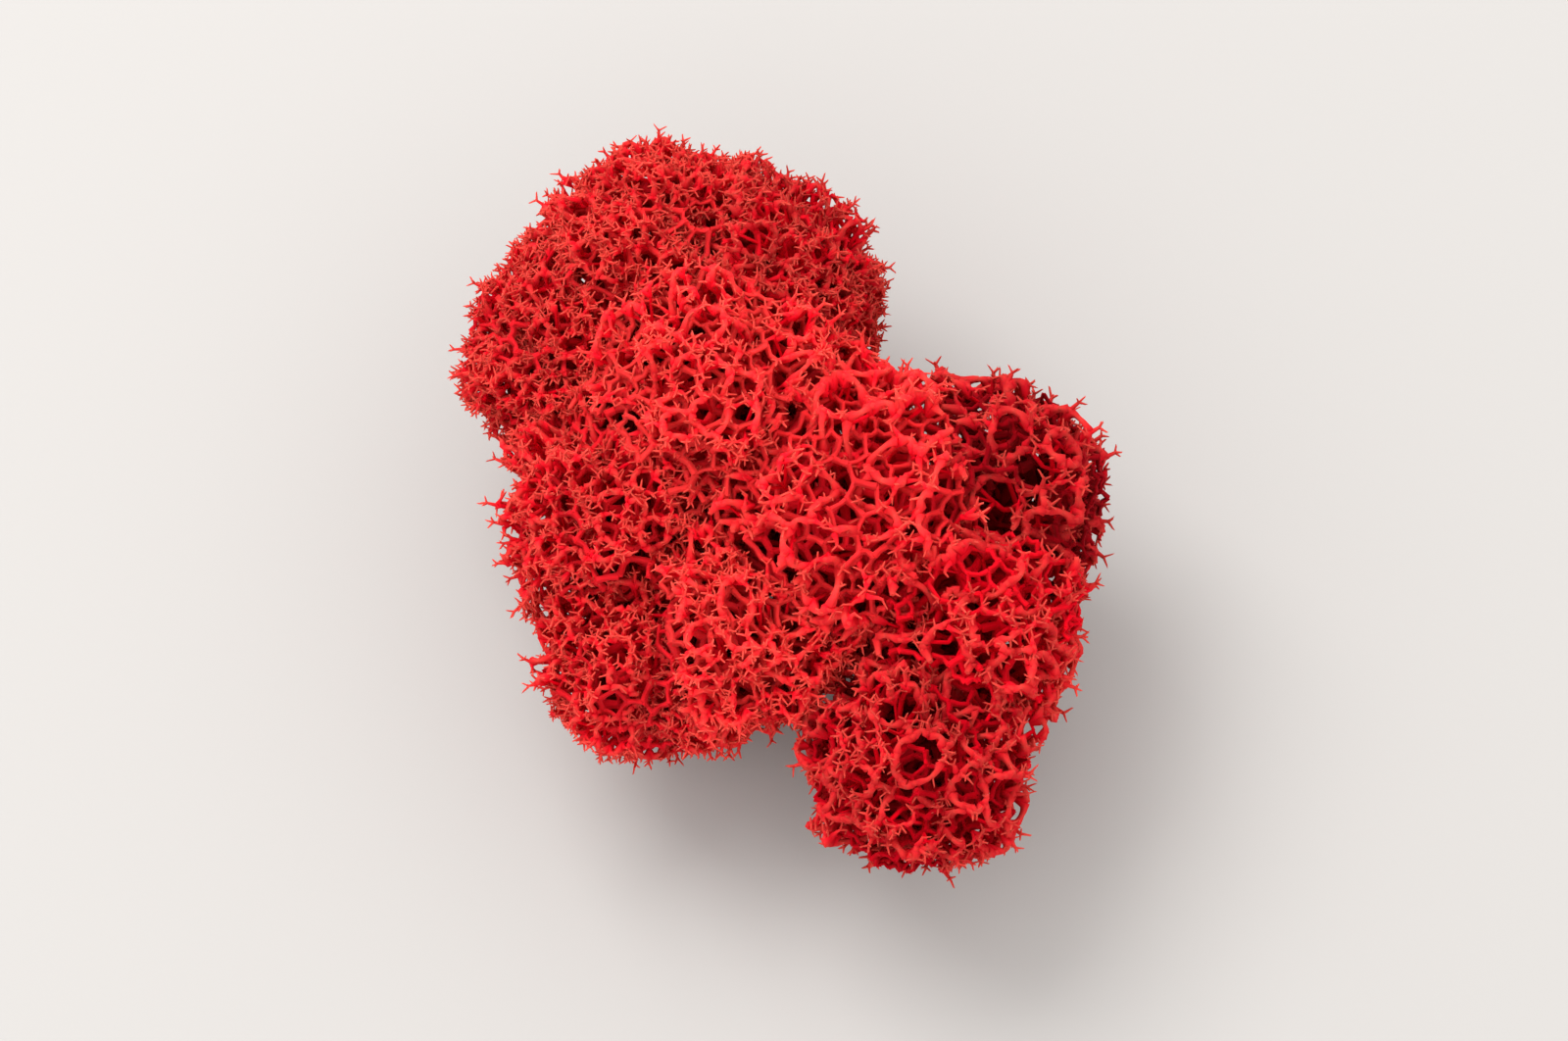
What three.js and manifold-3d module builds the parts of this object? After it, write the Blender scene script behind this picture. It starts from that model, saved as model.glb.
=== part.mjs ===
// A clump of preserved reindeer lichen (star-tipped Cladonia), dyed red.
// It is a bunch of lichen heads that grew side by side and hold each other by their twigs.
// Each head is one stem that forks in threes, again and again, until its tips cover a dome.
// Sizes are in millimetres, +Z is up, and the cut ends of the stems stand on z = 0.
import * as THREE from "three";
import Module from "manifold-3d";

const wasm = await Module();
wasm.setup();

// Each head: the middle of its dome in plan, the dome's radius and top, and how far apart its tips are.
const HEADS = [
  { name: "head_left", x: -23.6, y: 19.3, radius: 10.2, top: 34, spacing: 1.91 },
  { name: "head_back_left", x: -13.3, y: 28.3, radius: 12.2, top: 38, spacing: 1.91 },
  { name: "head_back", x: -1.0, y: 25.7, radius: 10.7, top: 38, spacing: 1.96 },
  { name: "head_middle", x: -6.8, y: 11.2, radius: 14.2, top: 43, spacing: 2.01 },
  { name: "head_centre", x: 7.8, y: 0.5, radius: 14.8, top: 42, spacing: 2.37 },
  { name: "head_right", x: 22.0, y: 3.1, radius: 11.8, top: 38, spacing: 2.27 },
  { name: "head_front_right", x: 19.7, y: -10.6, radius: 11.8, top: 37, spacing: 2.16 },
  { name: "head_front", x: 14.3, y: -25.3, radius: 12.0, top: 34, spacing: 2.27 },
  { name: "head_left_shoulder", x: -17.4, y: 1.5, radius: 11.4, top: 36, spacing: 2.01 },
  { name: "head_front_left", x: -4.1, y: -11.2, radius: 11.0, top: 35, spacing: 2.06 },
  { name: "head_low_left", x: -15.1, y: -13.5, radius: 10.6, top: 29, spacing: 2.16 },
];

const SEED = 40;
const DOME_RISE = 0.92; // the dome's height over its widest level, as a share of its radius
const SKIRT_REACH = 1.04; // how much of the height below that level the side twigs cover
const LOWEST_TIP = -0.78; // cosine of the steepest downward twig
const DOME_ROUGHNESS = 0.1; // how unevenly the tips reach the dome
const WALL_GAP = 0.55; // from a tip to the plane between two heads
const WALL_TIPS = 0.35; // share of the twigs towards a neighbour that stay, shortened to the plane
const SKIRT_TIPS = 0.7; // share of the twigs below the dome's widest level that stay
const FLOOR_GAP = 1.5; // the lowest tips over the surface
const FOOT_SPREAD = 0.72; // how far apart the stems stand at the foot, as a share of the domes' distances
const FAN_HEIGHT = 24; // the height at which the stems have spread fully
const TWIG_RADIUS = 0.38; // of the three-sided last twig at its root
const THICKENING = 0.24; // a branch with n tips is n to this power thicker
const FOOT_RADIUS = 1.1; // of the stem's cut end, as a share of the stem's radius
const STEM_SHARE = 0.16; // the bare stem, as a share of the way from the foot to the crown's middle
const SHRINK = 0.8; // each length between forks, as a share of the one before
const FORK_RISE = 1.0; // the fork's middle over its rim, as a share of the branch's radius
const STIFFNESS = 1.5; // how far a fork keeps to its branch's direction instead of those that leave it
const GOLDEN_ANGLE = Math.PI * (3 - Math.sqrt(5));
const TURN_STEPS = 36; // turns of a fork that are tried
const LEAST_FACING = 0.2; // cosine of the widest angle between a fork's face and the branch that stands on it
const SINK = 0.5; // how deep a branch with a ring of its own starts, as a share of its radius
const ROUNDS = 12; // of the sorting of tips among the branches of a fork

// A repeatable random draw from 0 to 1.
let state = SEED;
function random() {
  state = (state + 0x6d2b79f5) | 0;
  let t = Math.imul(state ^ (state >>> 15), 1 | state);
  t = (t + Math.imul(t ^ (t >>> 7), 61 | t)) ^ t;
  return ((t ^ (t >>> 14)) >>> 0) / 4294967296;
}

const middleOf = (points) =>
  points.reduce((sum, p) => sum.add(p), new THREE.Vector3()).divideScalar(points.length);

// The upright planes that part a head from the others, each as a direction and a distance.
function wallsOf(head) {
  return HEADS.filter((other) => other !== head).map((other) => {
    const away = new THREE.Vector3(other.x - head.x, other.y - head.y, 0);
    const apart = away.length();
    const reach = (apart * apart + head.radius ** 2 - other.radius ** 2) / (2 * apart);
    return { away: away.normalize(), reach };
  });
}

// Where the head's twigs end, over its dome and down its sides, kept on its own side of the walls.
function tipsOf(head) {
  const widest = head.top - DOME_RISE * head.radius;
  const walls = wallsOf(head);
  const count = Math.round((2 * Math.PI * head.radius ** 2 * (1 - LOWEST_TIP)) / head.spacing ** 2);
  const firstTurn = 2 * Math.PI * random();
  const tips = [];
  for (let i = 0; i < count; i++) {
    const rise = 1 - ((1 - LOWEST_TIP) * (i + 0.5)) / count;
    const out = Math.sqrt(1 - rise * rise) * head.radius;
    const turn = firstTurn + i * GOLDEN_ANGLE;
    const height = rise > 0 ? rise * DOME_RISE * head.radius : rise * SKIRT_REACH * widest;
    const tip = new THREE.Vector3(out * Math.cos(turn), out * Math.sin(turn), height);
    tip.multiplyScalar(1 + DOME_ROUGHNESS * (random() - 0.5));
    let overWall = false;
    for (const { away, reach } of [...walls, ...walls]) {
      const past = tip.dot(away) - (reach - WALL_GAP);
      if (past > 0) {
        tip.addScaledVector(away, -past);
        overWall = true;
      }
    }
    const stays = random() < (overWall ? WALL_TIPS : rise < 0 ? SKIRT_TIPS : 1);
    tip.add(new THREE.Vector3(head.x, head.y, widest));
    if (stays && tip.z > FLOOR_GAP) tips.push(tip);
  }
  return tips;
}

// Sorts tips into three by their directions from a fork.
// Planes through the fork part the three, so their branches don't cross.
function sortInThree(fork, tips) {
  const directions = tips.map((tip) => tip.clone().sub(fork).normalize());
  const farthestFrom = (chosen) =>
    directions.reduce((best, d) =>
      Math.max(...chosen.map((c) => c.dot(d))) < Math.max(...chosen.map((c) => c.dot(best))) ? d : best,
    );
  const aims = [farthestFrom([middleOf(directions).normalize()])];
  while (aims.length < 3) aims.push(farthestFrom(aims));
  let groups = [];
  for (let round = 0; round < ROUNDS; round++) {
    groups = aims.map(() => []);
    directions.forEach((d, i) => {
      const nearest = aims.reduce((best, aim, k) => (aim.dot(d) > aims[best].dot(d) ? k : best), 0);
      groups[nearest].push(i);
    });
    groups.forEach((group, k) => {
      if (group.length) aims[k] = middleOf(group.map((i) => directions[i])).normalize();
    });
  }
  return groups.filter((group) => group.length).map((group) => group.map((i) => tips[i]));
}

const radiusFor = (tipCount) => TWIG_RADIUS * tipCount ** THICKENING;

// Where a branch that carries these tips forks, seen from the fork before it.
function forkOf(from, tips) {
  const forksLeft = Math.log(tips.length) / Math.log(3);
  let lengths = 1;
  for (let i = 1, length = SHRINK; i <= forksLeft; i++, length *= SHRINK) lengths += length;
  return from.clone().lerp(middleOf(tips), 1 / lengths);
}

// Three points round a centre, anticlockwise as seen against the direction.
function ringAt(centre, direction, radius, turn) {
  const side = new THREE.Vector3(0, 0, 1).cross(direction);
  if (side.lengthSq() < 1e-4) side.set(1, 0, 0);
  side.normalize();
  const other = direction.clone().cross(side);
  return [0, 1, 2].map((k) => {
    const angle = turn + (2 * Math.PI * k) / 3;
    return centre
      .clone()
      .addScaledVector(side, radius * Math.cos(angle))
      .addScaledVector(other, radius * Math.sin(angle));
  });
}

// The rim and the three upper faces of a fork, turned so that each face looks along a branch that leaves it.
function forkFacing(fork, direction, radius, aims) {
  const ways = aims.map((aim) => aim.clone().sub(fork).normalize());
  const axis = direction.clone().multiplyScalar(STIFFNESS).add(middleOf(ways)).normalize();
  const middle = fork.clone().addScaledVector(axis, FORK_RISE * radius);
  let best = { fit: -Infinity };
  for (let step = 0; step < TURN_STEPS; step++) {
    const rim = ringAt(fork, axis, radius, (2 * Math.PI * step) / TURN_STEPS);
    const cap = rim.map((point, k) => [point, rim[(k + 1) % 3], middle]);
    const looks = cap.map((face) => new THREE.Triangle(...face).getNormal(new THREE.Vector3()));
    for (const skip of [1, 2]) {
      const faceOf = (k) => (k * skip) % 3;
      const fit = Math.min(...ways.map((way, k) => way.dot(looks[faceOf(k)])));
      if (fit > best.fit) best = { fit, rim, cap, faceOf };
    }
  }
  return best;
}

// A closed piece from faces given as lists of three points.
function solidFrom(faces) {
  const points = [];
  const numbers = new Map();
  const triVerts = faces.flat().map((p) => {
    if (!numbers.has(p)) {
      numbers.set(p, points.length);
      points.push(p);
    }
    return numbers.get(p);
  });
  const vertProperties = new Float32Array(points.flatMap((p) => spread(p).toArray()));
  const mesh = new wasm.Mesh({ numProp: 3, vertProperties, triVerts: new Uint32Array(triVerts) });
  return new wasm.Manifold(mesh);
}

// The heads lean outwards from the foot of the clump, so it is drawn in lower down.
function spread(point) {
  const share = Math.min(1, Math.max(0, point.z / FAN_HEIGHT));
  const width = THREE.MathUtils.lerp(FOOT_SPREAD, 1, share * share * (3 - 2 * share));
  return new THREE.Vector3(point.x * width, point.y * width, point.z);
}

// Closes the lower end of a branch: a flat end, or a point that is sunk in the fork it stands on.
const lowerEnd = ([a, b, c], root) => (root ? [[c, b, root], [b, a, root], [a, c, root]] : [[c, b, a]]);

// A last twig, from its base to its tip.
const twigFaces = ([a, b, c], tip) => [[a, b, tip], [b, c, tip], [c, a, tip]];

// The sides of a branch from its base to its rim, which are matched so that the branch twists least.
function branchFaces([a, b, c], rim) {
  const twist = (shift) => [a, b, c].reduce((sum, p, k) => sum + p.distanceTo(rim[(k + shift) % 3]), 0);
  const shift = [0, 1, 2].reduce((best, s) => (twist(s) < twist(best) ? s : best), 0);
  const [d, e, f] = [0, 1, 2].map((k) => rim[(k + shift) % 3]);
  return [bulging(a, b, e, d), bulging(b, c, f, e), bulging(c, a, d, f)].flat();
}

// Two triangles over four corners, split along the diagonal that bulges outwards.
function bulging(p, q, r, s) {
  const height = new THREE.Plane().setFromCoplanarPoints(p, q, r).distanceToPoint(s);
  return height < 0 ? [[p, q, r], [p, r, s]] : [[p, q, s], [q, r, s]];
}

// Whether the faces all look away from their middle.
function isSound(faces) {
  const middle = middleOf(faces.flat());
  return faces.every((face) => new THREE.Plane().setFromCoplanarPoints(...face).distanceToPoint(middle) < 0);
}

// A branch that stands on a face of the fork before it, where that face looks along it.
// If not, it stands on a ring of its own that is sunk in the fork.
function branchOn(face, from, end, radius, facesFrom) {
  const way = end.clone().sub(from).normalize();
  const looks = new THREE.Triangle(...face).getNormal(new THREE.Vector3());
  if (looks.dot(way) > LEAST_FACING && isSound(facesFrom(face))) {
    return solidFrom([...lowerEnd(face, from), ...facesFrom(face)]);
  }
  const ring = ringAt(from.clone().addScaledVector(way, -SINK * radius), way, radius, 0);
  return solidFrom([...lowerEnd(ring), ...facesFrom(ring)]);
}

// Adds the branch that stands on a face of the fork before it, its own fork, and all that grows from it.
function grow(pieces, face, from, end, tips) {
  if (tips.length === 1) {
    pieces.push(branchOn(face, from, end, TWIG_RADIUS, (base) => twigFaces(base, end)));
    return;
  }
  const groups = sortInThree(end, tips);
  const ends = groups.map((group) => (group.length === 1 ? group[0] : forkOf(end, group)));
  const radius = radiusFor(tips.length);
  const { rim, cap, faceOf } = forkFacing(end, end.clone().sub(from).normalize(), radius, ends);
  pieces.push(branchOn(face, from, end, radius, (base) => [...branchFaces(base, rim), ...cap]));
  groups.forEach((group, k) => grow(pieces, cap[faceOf(k)], end, ends[k], group));
}

// The stem stands on its cut end and is bare up to its first fork.
function makeHead(head) {
  const tips = tipsOf(head);
  const radius = radiusFor(tips.length);
  const foot = new THREE.Vector3(head.x, head.y, 0);
  const cutEnd = ringAt(foot, new THREE.Vector3(0, 0, 1), FOOT_RADIUS * radius, 0);
  const bend = foot.clone().lerp(middleOf(tips), STEM_SHARE);
  const top = ringAt(bend, new THREE.Vector3(0, 0, 1), radius, 0);
  const pieces = [solidFrom([...lowerEnd(cutEnd), ...branchFaces(cutEnd, top), top])];
  grow(pieces, top, bend, forkOf(bend, tips), tips);
  return pieces.reduce((sum, piece) => sum.add(piece));
}

// A solid as a mesh for the scene.
function meshOf(name, solid, material) {
  const { numProp, numVert, vertProperties, triVerts } = solid.getMesh();
  const positions = new Float32Array(numVert * 3);
  for (let i = 0; i < numVert; i++) {
    positions.set(vertProperties.subarray(i * numProp, i * numProp + 3), i * 3);
  }
  const geometry = new THREE.BufferGeometry();
  geometry.setAttribute("position", new THREE.BufferAttribute(positions, 3));
  geometry.setIndex(new THREE.BufferAttribute(new Uint32Array(triVerts), 1));
  const mesh = new THREE.Mesh(geometry, material);
  mesh.name = name;
  return mesh;
}

const dyedLichen = new THREE.MeshStandardMaterial({ color: 0xd3201c, roughness: 0.85, metalness: 0 });
const clump = new THREE.Group();
for (const head of HEADS) {
  clump.add(meshOf(head.name, makeHead(head), dyedLichen));
}

// The origin is under the middle of the clump.
const box = new THREE.Box3().setFromObject(clump);
const centre = box.getCenter(new THREE.Vector3());
clump.position.set(-centre.x, -centre.y, 0);

export default clump;
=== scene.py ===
import math
from types import SimpleNamespace

import bmesh
import bpy
import numpy as np
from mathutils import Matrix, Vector


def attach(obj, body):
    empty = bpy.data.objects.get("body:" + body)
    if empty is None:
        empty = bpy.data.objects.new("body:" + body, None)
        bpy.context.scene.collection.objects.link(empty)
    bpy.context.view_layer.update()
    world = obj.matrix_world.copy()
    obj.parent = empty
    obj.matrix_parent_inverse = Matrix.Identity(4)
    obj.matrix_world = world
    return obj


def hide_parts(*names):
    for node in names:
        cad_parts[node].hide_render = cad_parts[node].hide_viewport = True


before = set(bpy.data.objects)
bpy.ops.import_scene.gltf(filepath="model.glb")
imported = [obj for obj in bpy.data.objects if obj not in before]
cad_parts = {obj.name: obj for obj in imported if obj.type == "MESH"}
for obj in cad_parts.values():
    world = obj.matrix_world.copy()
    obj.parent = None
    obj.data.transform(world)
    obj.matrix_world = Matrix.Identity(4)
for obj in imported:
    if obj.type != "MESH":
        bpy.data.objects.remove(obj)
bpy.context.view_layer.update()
mm = 0.001


def toLinear(hexColour):
    channels = [int(hexColour[i : i + 2], 16) / 255 for i in (1, 3, 5)]
    return tuple(c / 12.92 if c <= 0.04045 else ((c + 0.055) / 1.055) ** 2.4 for c in channels) + (1.0,)


def addNode(tree, kind, settings=None, inputs=None):
    node = tree.nodes.new(kind)
    for name, value in (settings or {}).items():
        setattr(node, name, value)
    for name, value in (inputs or {}).items():
        if isinstance(value, bpy.types.NodeSocket):
            tree.links.new(value, node.inputs[name])
        else:
            node.inputs[name].default_value = value
    return node


# Dyed reindeer lichen is a felt of fungal threads with no skin, so it is matte, soft at its edges and lets
# a little light through where it is thin. The old lower stems are darkest, partly their own colour and partly
# painted shade of the deep inside, and the young tips are paler, partly their own colour and partly painted
# highlight.
lichenLook = {
    "stem": "#6A040C",
    "branch": "#E4001A",
    "ridge": "#D81624",
    "shoulder": "#D83230",
    "tip": "#D84A3E",
    "growthStops": {"branch": 0.45, "ridge": 0.7, "shoulder": 0.84},  # the stem is at 0 and the tip at 1
    "palest": 1.24,  # brightness of the palest branches
    "darkest": 0.56,
    "roughness": 0.9,
    "shine": 0.02,
    "sheen": 0.15,
    "sheenRoughness": 0.6,
    "sheenColour": "#FF4545",
    "glow": 0.2,
    "glowReach": (1.0, 0.2, 0.12),
    "glowDepth": 0.5,  # mm
}


def dyedReindeerLichen():
    look = lichenLook
    material = bpy.data.materials.new("dyedReindeerLichen")
    material.use_nodes = True
    tree = material.node_tree
    tree.nodes.clear()
    # across the map is growth, from the foot to a tip; up the map is from dark to light, and holds random tone
    # and each head's own tone with its painted light and shade
    place = addNode(tree, "ShaderNodeUVMap", {"uv_map": "OFBake"})
    parts = addNode(tree, "ShaderNodeSeparateXYZ", inputs={"Vector": place.outputs["UV"]})
    ramp = addNode(tree, "ShaderNodeValToRGB", inputs={"Fac": parts.outputs["X"]})
    stops = ramp.color_ramp.elements
    stops[0].position, stops[0].color = 0.0, toLinear(look["stem"])
    stops[1].position, stops[1].color = 1.0, toLinear(look["tip"])
    for name, position in look["growthStops"].items():
        stop = stops.new(position)
        stop.color = toLinear(look[name])
    brightness = addNode(
        tree,
        "ShaderNodeMapRange",
        inputs={"Value": parts.outputs["Y"], "To Min": look["darkest"], "To Max": look["palest"]},
    )
    shaded = addNode(
        tree,
        "ShaderNodeVectorMath",
        {"operation": "SCALE"},
        {0: ramp.outputs["Color"], "Scale": brightness.outputs["Result"]},
    )
    shader = addNode(
        tree,
        "ShaderNodeBsdfPrincipled",
        inputs={
            "Base Color": shaded.outputs["Vector"],
            "Roughness": look["roughness"],
            "Specular IOR Level": look["shine"],
            "Sheen Weight": look["sheen"],
            "Sheen Roughness": look["sheenRoughness"],
            "Sheen Tint": toLinear(look["sheenColour"]),
            "Subsurface Weight": look["glow"],
            "Subsurface Radius": look["glowReach"],
            "Subsurface Scale": look["glowDepth"] * mm,
        },
    )
    addNode(tree, "ShaderNodeOutputMaterial", inputs={"Surface": shader.outputs["BSDF"]})
    return material


# the form of the clump, as in the solids; lengths are in mm
clumpForm = {
    "domeRise": 0.92,  # a head's dome against its radius
    "skirtReach": 1.04,  # a head's lower part against the height of its widest level
    "lowest": -0.8,  # the net ends at this direction, where -1 is straight down
    "lowestTip": 2.2,
    "blend": 7.0,  # how far off a head starts to swell towards its neighbour
    "footSpread": 0.72,  # the stems stand closer together than their heads
    "fanHeight": 24.0,  # from this height up the heads have their full spread
}

# x, y, radius, top and hole are in mm, and hole is the usual width of a hole in the net
# open goes from 0, a dense head, to 1, a bare net; lit is how light its inner branches are painted, as painted
# light and shade, and the last number is how light its net is, partly its own tone and partly painted light
# and shade
# openings are single large holes: x, y, width
clumpHeads = {
    "head_left": {
        "x": -23.6, "y": 19.3, "radius": 10.2, "top": 34, "hole": 1.85, "open": 0.0, "lit": 0.8, "toneAndPaintedLight": 0.53,
    },
    "head_back_left": {
        "x": -13.3, "y": 28.3, "radius": 12.2, "top": 38, "hole": 1.9, "open": 0.0, "lit": 0.9, "toneAndPaintedLight": 0.57,
    },
    "head_back": {
        "x": -1.0, "y": 25.7, "radius": 10.7, "top": 38, "hole": 2.05, "open": 0.2, "lit": 0.6, "toneAndPaintedLight": 0.26,
    },
    "head_middle": {
        "x": -6.8, "y": 11.2, "radius": 14.2, "top": 43, "hole": 2.65, "open": 0.5, "lit": 1.0, "toneAndPaintedLight": 0.9,
        "openings": ((-2.7, 11.2, 2.9), (4.0, 13.6, 2.4), (-1.6, 21.2, 2.2)),
    },
    "head_centre": {
        "x": 7.8, "y": 0.5, "radius": 14.8, "top": 42, "hole": 3.3, "open": 1.0, "lit": 0.9, "toneAndPaintedLight": 0.82,
        "openings": ((3.3, -7.6, 4.4), (-1.6, -5.8, 3.6)),
    },
    "head_right": {
        "x": 22.0, "y": 3.1, "radius": 11.8, "top": 38, "hole": 3.3, "open": 1.0, "lit": -0.5, "toneAndPaintedLight": 0.24,
        "openings": ((22.5, -1.8, 6.0), (26.1, 3.1, 3.8)),
    },
    "head_front_right": {
        "x": 19.7, "y": -10.6, "radius": 11.8, "top": 37, "hole": 3.1, "open": 0.9, "lit": 0.5, "toneAndPaintedLight": 0.54,
        "openings": ((22.1, -15.4, 3.7), (15.3, -14.2, 3.5)),
    },
    "head_front": {
        "x": 14.3, "y": -25.3, "radius": 12.0, "top": 34, "hole": 2.85, "open": 0.7, "lit": -0.2, "toneAndPaintedLight": 0.38,
        "openings": ((12.7, -22.4, 4.6), (17.1, -25.0, 3.0), (10.4, -31.7, 2.9), (10.1, -27.6, 2.6)),
    },
    "head_left_shoulder": {
        "x": -17.4, "y": 1.5, "radius": 11.4, "top": 36, "hole": 2.2, "open": 0.25, "lit": 0.8, "toneAndPaintedLight": 0.61,
    },
    "head_front_left": {
        "x": -4.1, "y": -11.2, "radius": 11.0, "top": 35, "hole": 2.3, "open": 0.35, "lit": 1.0, "toneAndPaintedLight": 0.92,
    },
    "head_low_left": {
        "x": -15.1, "y": -13.5, "radius": 10.6, "top": 29, "hole": 2.3, "open": 0.1, "lit": 0.8, "toneAndPaintedLight": 0.64,
    },
}


def unit(vectors):
    return vectors / np.maximum(np.linalg.norm(vectors, axis=-1, keepdims=True), 1e-9)


def between(pair, head):
    # from a dense head's value to an open one's
    return pair[0] + (pair[1] - pair[0]) * head["open"]


def randomWays(rng, count, lowest):
    z = rng.uniform(lowest, 1, count)
    turn = rng.uniform(0, 2 * math.pi, count)
    flat = np.sqrt(1 - z * z)
    return np.c_[flat * np.cos(turn), flat * np.sin(turn), z]


def wallTowards(head, other):
    # the way to another head in plan, its distance, and how far off the wall between the two is
    apart = np.array([other["x"] - head["x"], other["y"] - head["y"]])
    length = np.linalg.norm(apart)
    wall = (length**2 + head["radius"] ** 2 - other["radius"] ** 2) / (2 * length)
    return apart, length, wall


def normalsOf(head, places):
    # a head is a dome above its widest level and a long skirt below it
    radius = head["radius"]
    widest = head["top"] - clumpForm["domeRise"] * radius
    rise = np.where(places[:, 2] > 0, clumpForm["domeRise"] * radius, clumpForm["skirtReach"] * widest)
    return unit(np.c_[places[:, :2] / radius**2, places[:, 2] / rise**2])


def onForm(head, ways, depth=0.0):
    form, radius = clumpForm, head["radius"]
    widest = head["top"] - form["domeRise"] * radius
    z = ways[:, 2]
    height = np.where(z > 0, z * form["domeRise"] * radius, z * form["skirtReach"] * widest)
    places = np.c_[ways[:, :2] * radius, height]
    normals = normalsOf(head, places)
    places -= normals * np.broadcast_to(depth, len(ways))[:, None]
    past = np.full(len(ways), -radius)
    filled, filling = np.zeros(len(ways)), np.zeros((len(ways), 3))
    for other in clumpHeads.values():
        if other is head:
            continue
        apart, length, wall = wallTowards(head, other)
        over = places[:, :2] @ (apart / length) - wall
        past = np.maximum(past, over)
        # near a neighbour the net swells to meet it, so the valley between them isn't deep
        near = np.clip(form["blend"] + np.minimum(over, 0) * length / radius, 0, None)
        lower = widest - other["top"] + form["domeRise"] * other["radius"]
        theirs = normalsOf(other, places - (*apart, -lower))
        share = (near / (2 * form["blend"]))[:, None]
        slope = normals * (1 - share) + theirs * share
        swell = near**2 / (4 * form["blend"])
        better = swell > filled
        filled[better] = swell[better]
        steep = np.maximum((slope**2).sum(axis=1), 0.4)
        filling[better] = (slope * (swell / steep)[:, None])[better]
    return places + filling + (head["x"], head["y"], widest), past


def spread(points):
    # the stems lean in, so the heads' plan shrinks smoothly towards the floor
    share = np.clip(points[:, 2] / clumpForm["fanHeight"], 0, 1)
    width = clumpForm["footSpread"] + (1 - clumpForm["footSpread"]) * share**2 * (3 - 2 * share)
    return np.c_[points[:, 0] * width, points[:, 1] * width, points[:, 2]]


# how round a tube is
tubeSides = {"stem": 6, "branch": 4, "twig": 3}


class Skeleton:
    # the middle lines of a head's branches and the roots of its tips, in mm
    # each point's column: radius, growth, shade, sides (0 for a tip), length, turn and aim
    def __init__(self, rng):
        self.rng = rng
        self.points, self.edges, self.columns = [], [], []

    def chain(self, points, radii, growth, shade, kind):
        first = len(self.points)
        self.points += [tuple(p) for p in points]
        for r, g in zip(radii, growth):
            mottle = float(np.clip(shade + self.rng.normal(0, 0.045), 0.01, 0.99))
            self.columns.append((r, g, mottle, tubeSides[kind], 0.0, 0.0, 0, 0, 1))
        self.edges += [(first + k, first + k + 1) for k in range(len(points) - 1)]

    def tip(self, point, aim, length, radius, turn, growth, shade):
        self.points.append(tuple(point))
        self.columns.append((radius, growth, shade, 0, length, turn, *aim))


# the net of holes over a head; lengths are in mm
# a mix has hole widths against the head's own, each with its share of the area, and the last fills the rest
netLook = {
    "openMix": ((1.75, 0.1), (1.35, 0.2), (1.05, 0.3), (0.78, 1.0)),
    "denseMix": ((1.5, 0.06), (1.2, 0.22), (1.0, 0.35), (0.8, 1.0)),
    "candidates": 4500,
    "lowestTry": -0.97,
    "skirtArea": 2.2,  # of the dome's area, with the skirt
    "packing": 0.9,
    "coarserBelow": 1.7,
    "lobeWidth": 6.5,
    "lobeCrowding": 1.6,
    "lobeFlat": 0.6,
    "lobeDip": 2.5,
    "uneven": 0.42,
    # the net is painted darker in the low places between lobes: painted shade
    "dipPaintedShade": 0.1,  # low places are darker
    "shadeSpread": 0.06,
    "upturn": 0.15,  # whorls face a little more upwards than the form does
    "overWall": (0.2, 0.5),
    "acrossWall": 2.2,
    "lowestArm": 2.0,
    "sideways": 0.02,
    "usualHole": 2.5,
    "roundness": 0.09,
    "rimmed": 1.3,  # a hole this much wider than usual has a rim
    "rimShare": 0.75,
    "stoutShare": (0.4, 0.5),
    "ridgeRise": (0.1, 0.9),
}


def holesOf(rng, head):
    look = netLook
    ways = randomWays(rng, look["candidates"], look["lowestTry"])
    places, _ = onForm(head, ways)
    coarser = 1 + look["coarserBelow"] * np.clip(-ways[:, 2] - 0.1, 0, 0.6)
    area = 2 * math.pi * head["radius"] ** 2 * look["skirtArea"]
    chosen, taken, widths = [], np.zeros((0, 3)), np.zeros(0)

    def takeHole(i, width):
        nonlocal taken, widths
        gaps = np.linalg.norm(taken - places[i], axis=1)
        if (gaps < look["packing"] * (widths + width) / 2).any():
            return False
        chosen.append(i)
        taken, widths = np.vstack([taken, places[i]]), np.append(widths, width)
        return True

    # the large openings are all on the upper side
    belowSide = 50 * (ways[:, 2] < 0)
    for x, y, width in head.get("openings", ()):
        beside = np.hypot(places[:, 0] - x, places[:, 1] - y) + belowSide
        takeHole(int(beside.argmin()), width)
    for factor, share in look["openMix" if head["open"] > 0.5 else "denseMix"]:
        width = factor * head["hole"]
        room = share * area / width**2 if share < 1 else look["candidates"]
        for i in range(look["candidates"]):
            if room <= 0:
                break
            room -= takeHole(i, width * coarser[i])
    return ways[chosen], widths


def netOver(ways, widths):
    # the hull of directions on a ball is their Delaunay net; its triangles' middles are the net's knots
    shell = bmesh.new()
    for i, way in enumerate(ways):
        shell.verts.new(way).index = i
    bmesh.ops.convex_hull(shell, input=list(shell.verts))
    corners, sides = [], {}
    for face in shell.faces:
        ring = [vert.index for vert in face.verts]
        for k in range(3):
            sides.setdefault(tuple(sorted((ring[k], ring[(k + 1) % 3]))), []).append(len(corners))
        corners.append(ring)
    shell.free()
    corners = np.array(corners)
    weight = 1 / widths[corners]
    knots = unit((ways[corners] * weight[:, :, None]).sum(axis=1))
    links = [(*knotPair, *holePair) for holePair, knotPair in sides.items() if len(knotPair) == 2]
    return knots, links


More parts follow.
